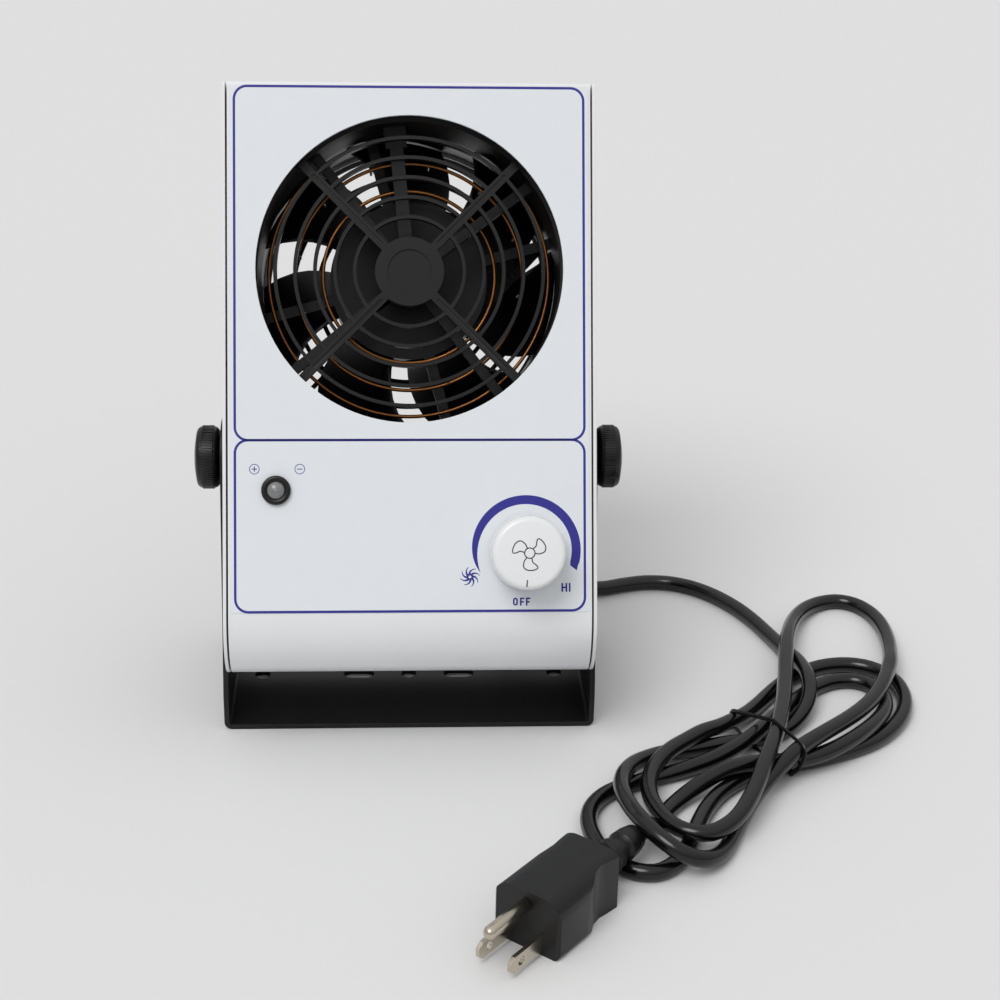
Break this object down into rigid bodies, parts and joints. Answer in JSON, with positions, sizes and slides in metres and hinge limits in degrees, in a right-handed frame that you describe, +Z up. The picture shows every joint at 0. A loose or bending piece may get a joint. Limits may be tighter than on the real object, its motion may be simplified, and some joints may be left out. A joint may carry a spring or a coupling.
{
  "type": "ionizing blower",
  "caption": "Benchtop ionizing air blower: white tilting sheet-metal fan housing in a black steel yoke, with speed dial, indicator lamp and bundled mains cord.",
  "frame": {"origin": "middle bench hole of the yoke's base, on the base's underside, which rests on the bench", "axes": "+Z up, -Y towards the air outlet and the user, +X to the right of someone in front of the outlet; the housing leans back 25 degrees at rest"},
  "size_m": [0.2833, 0.2911, 0.2362],
  "materials": {
    "black_steel": "satin black powder coat",
    "white_steel": "smooth white powder coat",
    "film": "satin printed polycarbonate",
    "black_plastic": "moulded black plastic",
    "grey_plastic": "moulded dark grey plastic",
    "copper": "bare copper wire",
    "steel": "zinc plated steel",
    "brass": "turned brass",
    "bronze": "sintered bronze",
    "white_plastic": "glossy white plastic",
    "board": "green solder mask",
    "yellow_plastic": "yellow case",
    "lens": "frosted grey lens",
    "fibre": "black fibre",
    "cord": "glossy black PVC",
    "nickel": "nickel plated brass",
    "glass": "clear glass"
  },
  "bodies": {
    "stand": {"yoke_bracket": "black_steel", "power_cord_lead": "cord", "power_cord_hank": "cord", "cord_tie": "cord", "plug_body": "cord", "plug_blades": "nickel", "plug_ground_pin": "nickel"},
    "fan_rotor": {"fan_impeller": "black_plastic", "rotor_cage": "steel", "fan_shaft": "steel"},
    "speed_knob_body": {"speed_knob": "white_plastic", "potentiometer_shaft": "steel"},
    "left_knob": {"left_clamp_knob": "black_plastic", "left_clamp_stud": "steel"},
    "right_knob": {"right_clamp_knob": "black_plastic", "right_clamp_stud": "steel"},
    "housing": {"front_shell": "white_steel", "rear_shell": "white_steel", "face_film": "film", "outlet_guard": "black_plastic", "guard_spacers": "steel", "guard_studs": "steel", "stud_nuts": "steel", "emitter_carrier": "grey_plastic", "outer_earth_ring": "copper", "emitter_ring": "copper", "inner_earth_ring": "copper", "emitter_needles": "steel", "fan_frame": "black_plastic", "stator_core": "steel", "stator_windings": "copper", "fan_bearings": "bronze", "rear_guard": "black_steel", "fan_screws": "steel", "fan_nuts": "steel", "high_voltage_module": "black_plastic", "module_screws": "steel", "control_board": "board", "board_standoffs": "brass", "board_screws": "steel", "speed_potentiometer": "steel", "potentiometer_nut": "steel", "filter_capacitor": "yellow_plastic", "mains_fuse": "glass", "speed_triac": "black_plastic", "suppression_choke": "copper", "indicator_bezel": "black_plastic", "indicator_lens": "lens", "indicator_nut": "black_plastic", "housing_screws": "steel", "pivot_inserts": "brass", "friction_washers": "fibre", "terminal_block": "white_plastic", "earth_stud": "brass", "earth_nut": "brass", "cord_strain_relief": "cord", "cord_inlet": "cord"}
  },
  "joints": [
    {"name": "housing_tilt", "type": "hinge", "parent": "stand", "child": "housing", "pos_m": [0, 0, 0.097], "axis": [1, 0, 0], "range_deg": [-20, 70], "deforming": ["power_cord_lead"]},
    {"name": "fan_spin", "type": "hinge", "parent": "housing", "child": "fan_rotor", "pos_m": [0, 0.04657, 0.14954], "axis": [0, 0.9063, -0.4226], "continuous": true},
    {"name": "speed_knob_turn", "type": "hinge", "parent": "housing", "child": "speed_knob_body", "pos_m": [0.0422, -0.05872, 0.08466], "axis": [0, 0.9063, -0.4226], "range_deg": [0, 300]},
    {"name": "left_knob_turn", "type": "hinge", "parent": "housing", "child": "left_knob", "pos_m": [-0.076, 0, 0.097], "axis": [-1, 0, 0], "range_deg": [0, 360]},
    {"name": "right_knob_turn", "type": "hinge", "parent": "housing", "child": "right_knob", "pos_m": [0.076, 0, 0.097], "axis": [1, 0, 0], "range_deg": [0, 360]}
  ]
}
